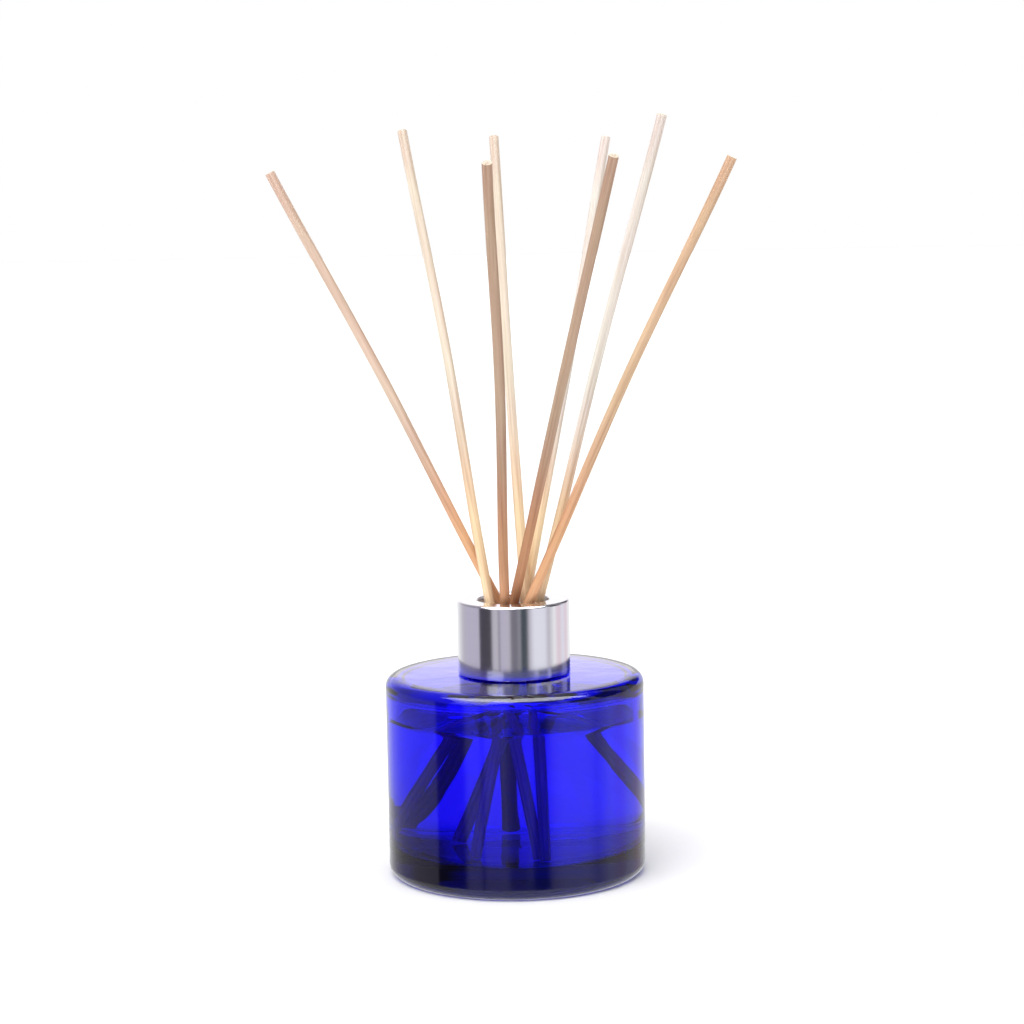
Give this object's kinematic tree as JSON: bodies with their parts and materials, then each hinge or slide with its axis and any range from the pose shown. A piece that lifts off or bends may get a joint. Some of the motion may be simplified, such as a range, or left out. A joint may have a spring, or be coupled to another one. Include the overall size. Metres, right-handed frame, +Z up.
{
  "type": "reed diffuser",
  "caption": "Squat round glass bottle of scented oil with a polished screw collar on its neck and loose rattan reeds fanned out of the mouth.",
  "frame": {"origin": "centre of the bottle's flat underside, on the surface it stands on", "axes": "+Z up along the bottle's axis; -Y is the side facing the viewer"},
  "size_m": [0.134, 0.1195, 0.2209],
  "materials": {
    "cobalt_glass": "clear, coloured through",
    "scented_oil": "clear liquid",
    "polished_metal": "polished, with a light turned grain",
    "liner_plastic": "natural polypropylene",
    "foam": "fine closed-cell foam",
    "rattan": "raw, split-free, fine lengthwise grain"
  },
  "bodies": {
    "bottle": {"glass_bottle": "cobalt_glass", "fragrance_oil": "scented_oil"},
    "seal": {"collar_seal": "foam"},
    "collar": {"collar_shell": "polished_metal", "collar_insert": "liner_plastic"},
    "reed_1": {"reed_1": "rattan"},
    "reed_2": {"reed_2": "rattan"},
    "reed_3": {"reed_3": "rattan"},
    "reed_4": {"reed_4": "rattan"},
    "reed_5": {"reed_5": "rattan"},
    "reed_6": {"reed_6": "rattan"},
    "reed_7": {"reed_7": "rattan"},
    "reed_8": {"reed_8": "rattan"}
  },
  "joints": [
    {"name": "collar_rise", "type": "slide", "parent": "bottle", "child": "seal", "axis": [0, 0, 1], "range_m": [0, 0.0042]},
    {"name": "collar_turn", "type": "hinge", "parent": "seal", "child": "collar", "pos_m": [0, 0, 0.07], "axis": [0, 0, 1], "range_deg": [0, 360]},
    {"name": "reed_1_draw", "type": "slide", "parent": "bottle", "child": "reed_1", "axis": [-0.4466, -0.0525, 0.8932], "range_m": [0, 0.1]},
    {"name": "reed_2_draw", "type": "slide", "parent": "bottle", "child": "reed_2", "axis": [-0.1658, 0.2653, 0.9498], "range_m": [0, 0.1]},
    {"name": "reed_3_draw", "type": "slide", "parent": "bottle", "child": "reed_3", "axis": [-0.0176, -0.4401, 0.8978], "range_m": [0, 0.1]},
    {"name": "reed_4_draw", "type": "slide", "parent": "bottle", "child": "reed_4", "axis": [-0.0486, 0.3351, 0.9409], "range_m": [0, 0.1]},
    {"name": "reed_5_draw", "type": "slide", "parent": "bottle", "child": "reed_5", "axis": [0.1872, 0.2945, 0.9371], "range_m": [0, 0.1]},
    {"name": "reed_6_draw", "type": "slide", "parent": "bottle", "child": "reed_6", "axis": [0.2027, -0.375, 0.9046], "range_m": [0, 0.1]},
    {"name": "reed_7_draw", "type": "slide", "parent": "bottle", "child": "reed_7", "axis": [0.2501, -0.1337, 0.9589], "range_m": [0, 0.1]},
    {"name": "reed_8_draw", "type": "slide", "parent": "bottle", "child": "reed_8", "axis": [0.4184, -0.1024, 0.9025], "range_m": [0, 0.1]}
  ],
  "couplings": [
    {"joint": "collar_rise", "follows": "collar_turn", "m_per_rad": 0.00066845}
  ]
}
